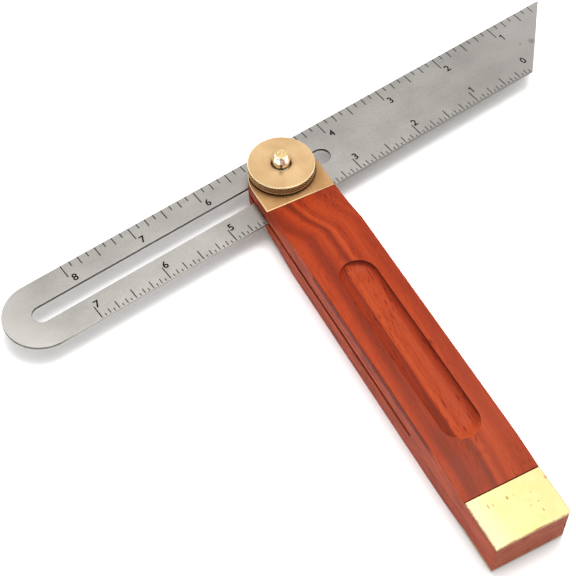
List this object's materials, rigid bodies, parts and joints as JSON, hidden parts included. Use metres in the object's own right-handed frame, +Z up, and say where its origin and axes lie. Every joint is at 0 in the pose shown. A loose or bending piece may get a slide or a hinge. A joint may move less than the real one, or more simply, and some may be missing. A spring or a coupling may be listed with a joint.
{
  "type": "sliding bevel gauge",
  "caption": "Sliding T-bevel: a slotted, graduated steel blade that slides and swings in a hardwood stock and is locked by a knurled clamp nut.",
  "frame": {"origin": "on the pivot axis (the clamp bolt's centre line), at the plane the tool lies on: the bolt head's face and the underside of the grip", "axes": "+X along the stock from the pivot to the butt, +Y to the side the blade's pointed end stands out of at rest, +Z up through the clamp nut"},
  "size_m": [0.1794, 0.2248, 0.021],
  "materials": {
    "stock_wood": "oiled red hardwood",
    "plate_brass": "satin brass",
    "bolt_brass": "bright turned brass",
    "nut_brass": "satin brass, knurled edge",
    "blade_steel": "satin stainless steel with dark etched graduations",
    "washer_steel": "plain bright steel"
  },
  "bodies": {
    "stock": {"handle_stock": "stock_wood", "head_plate_top": "plate_brass", "head_plate_bottom": "plate_brass", "butt_plate_top": "plate_brass", "butt_plate_bottom": "plate_brass", "head_pin_top_a": "plate_brass", "head_pin_top_b": "plate_brass", "head_pin_bottom_a": "plate_brass", "head_pin_bottom_b": "plate_brass", "butt_pin_top_a": "plate_brass", "butt_pin_top_b": "plate_brass", "butt_pin_bottom_a": "plate_brass", "butt_pin_bottom_b": "plate_brass", "clamp_bolt": "bolt_brass"},
    "pivot_shims": {"blade_shim_lower": "washer_steel", "blade_shim_upper": "washer_steel"},
    "blade": {"blade": "blade_steel"},
    "washer": {"nut_washer": "washer_steel"},
    "nut": {"clamp_nut": "nut_brass"}
  },
  "joints": [
    {"name": "blade_swing", "type": "hinge", "parent": "stock", "child": "pivot_shims", "pos_m": [0, 0, 0.0079], "axis": [0, 0, 1], "range_deg": [-83, 247]},
    {"name": "blade_slide", "type": "slide", "parent": "pivot_shims", "child": "blade", "axis": [-0.1426, 0.9898, 0], "range_m": [-0.0165, 0.0915]},
    {"name": "nut_lift", "type": "slide", "parent": "stock", "child": "washer", "axis": [0, 0, 1], "range_m": [0, 0.0021]},
    {"name": "nut_turn", "type": "hinge", "parent": "washer", "child": "nut", "pos_m": [0, 0, 0.0152], "axis": [0, 0, 1], "range_deg": [0, 720]}
  ],
  "couplings": [
    {"joint": "nut_lift", "follows": "nut_turn", "m_per_rad": 0.00015915}
  ]
}
